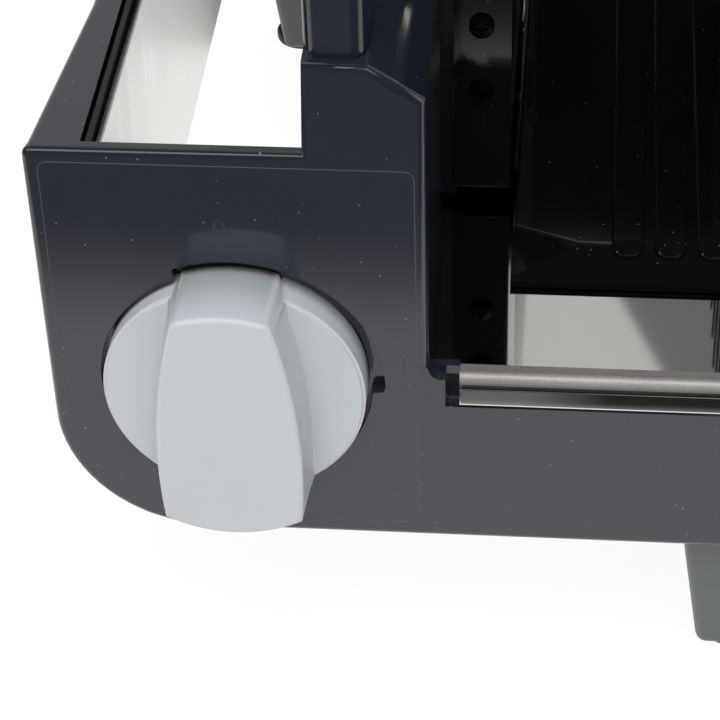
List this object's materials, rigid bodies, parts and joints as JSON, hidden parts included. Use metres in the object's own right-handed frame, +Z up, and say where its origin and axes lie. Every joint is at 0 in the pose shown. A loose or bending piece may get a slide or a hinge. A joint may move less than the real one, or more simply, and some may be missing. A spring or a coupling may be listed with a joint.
{
  "type": "electric food slicer",
  "caption": "Electric food slicer with a round blade, sliding ribbed carriage and food pusher, polished table, and a front knob that draws back the stop plate to set slice thickness.",
  "frame": {"origin": "centre of the footprint at ground level", "axes": "+Z up, +X to the operator's right, +Y from the operator to the back"},
  "size_m": [0.25, 0.335, 0.262],
  "materials": {
    "frame_plastic": "gloss moulded plastic, navy anthracite",
    "black_gloss": "gloss moulded plastic, black",
    "black_plastic": "moulded plastic, black",
    "knob_grey": "fine satin plastic, light grey",
    "leg_grey": "satin plastic, green grey",
    "brushed_steel": "brushed stainless sheet",
    "polished_steel": "polished stainless steel",
    "satin_aluminium": "satin aluminium",
    "plain_steel": "plain steel",
    "bronze": "sintered bronze",
    "nylon": "natural nylon",
    "motor_metal": "lacquered steel can",
    "rubber": "black rubber"
  },
  "bodies": {
    "body": {"front_frame": "frame_plastic", "side_trim": "black_plastic", "side_plate": "brushed_steel", "carry_handle": "frame_plastic", "mechanism_cover": "black_plastic", "drive_bracket": "plain_steel", "guide_rods": "plain_steel", "shaft_bush": "bronze", "bracket_screws": "plain_steel", "front_rail": "satin_aluminium", "rail_strip": "polished_steel", "rail_screw": "plain_steel", "table_plate": "polished_steel", "table_chassis": "frame_plastic", "carriage_bar": "plain_steel", "motor_housing": "frame_plastic", "motor_cover": "frame_plastic", "cover_screws": "plain_steel", "gear_plate": "plain_steel", "motor": "motor_metal", "blade_axle": "plain_steel", "switch_body": "black_plastic", "cord_inlet": "black_plastic", "front_foot": "leg_grey", "left_foot": "leg_grey", "rear_feet": "leg_grey", "foot_pads": "rubber"},
    "knob": {"thickness_knob": "knob_grey", "knob_shaft": "plain_steel", "knob_pinion": "nylon", "knob_clip": "plain_steel"},
    "stop": {"stop_plate": "black_gloss", "stop_slide": "black_plastic", "stop_screws": "plain_steel"},
    "blade_set": {"blade": "polished_steel", "blade_gear": "nylon", "blade_lock": "black_plastic"},
    "rotor": {"motor_shaft": "plain_steel", "motor_pinion": "plain_steel", "cooling_fan": "black_plastic"},
    "carriage": {"carriage_tray": "black_gloss", "carriage_runner": "black_plastic", "carriage_wall": "black_gloss"},
    "pusher": {"food_pusher": "black_plastic"},
    "button": {"power_button": "knob_grey"}
  },
  "joints": [
    {"name": "knob_turn", "type": "hinge", "parent": "body", "child": "knob", "pos_m": [-0.082, -0.1505, 0.089], "axis": [0, 1, 0], "range_deg": [0, 70]},
    {"name": "stop_slide", "type": "slide", "parent": "body", "child": "stop", "axis": [-1, 0, 0], "range_m": [0, 0.0153]},
    {"name": "blade_spin", "type": "hinge", "parent": "body", "child": "blade_set", "pos_m": [-0.0225, 0.0625, 0.17], "axis": [1, 0, 0], "continuous": true},
    {"name": "motor_spin", "type": "hinge", "parent": "body", "child": "rotor", "pos_m": [-0.0225, 0.10147, 0.1475], "axis": [1, 0, 0], "continuous": true},
    {"name": "carriage_slide", "type": "slide", "parent": "body", "child": "carriage", "axis": [0, 1, 0], "range_m": [0, 0.13]},
    {"name": "pusher_slide", "type": "slide", "parent": "carriage", "child": "pusher", "axis": [-1, 0, 0], "range_m": [0, 0.044]},
    {"name": "button_press", "type": "slide", "parent": "body", "child": "button", "axis": [0, 1, 0], "range_m": [0, 0.003], "stiffness_N_per_m": 400}
  ],
  "couplings": [
    {"joint": "stop_slide", "follows": "knob_turn", "m_per_rad": 0.0125},
    {"joint": "motor_spin", "follows": "blade_spin", "ratio": -3}
  ]
}
